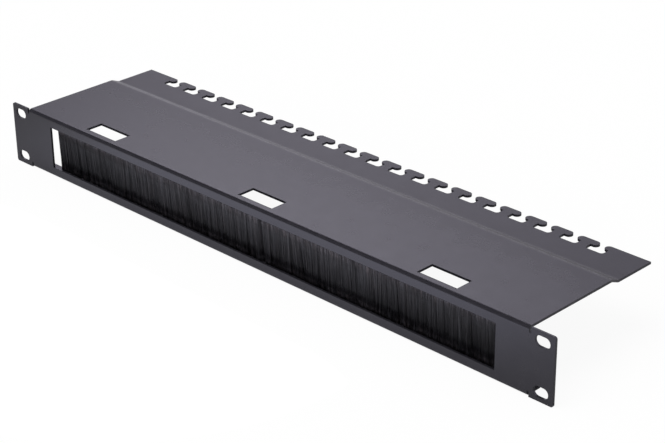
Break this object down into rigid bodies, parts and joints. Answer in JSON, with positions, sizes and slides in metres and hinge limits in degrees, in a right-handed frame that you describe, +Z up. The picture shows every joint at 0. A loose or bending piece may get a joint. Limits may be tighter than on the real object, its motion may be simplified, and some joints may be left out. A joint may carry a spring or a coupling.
{
  "type": "rack brush strip panel",
  "caption": "Folded steel rack panel with a wide brush-filled cable opening, slotted ears and a rear tray with mushroom-shaped tie tabs.",
  "frame": {"origin": "centre of the rack hole pattern, on the rear face of the ears", "axes": "+X to the right seen from the front, +Y back into the rack along the tray, +Z up"},
  "size_m": [0.4826, 0.1115, 0.044],
  "materials": {
    "powder_coat": "satin",
    "channel_steel": "satin",
    "core_steel": "satin",
    "bristle_nylon": "satin"
  },
  "bodies": {
    "root": {"panel_tray": "powder_coat", "brush_channel_left": "channel_steel", "core_wire_left": "core_steel", "bristles_left": "bristle_nylon", "brush_channel_right": "channel_steel", "core_wire_right": "core_steel", "bristles_right": "bristle_nylon"}
  },
  "joints": []
}
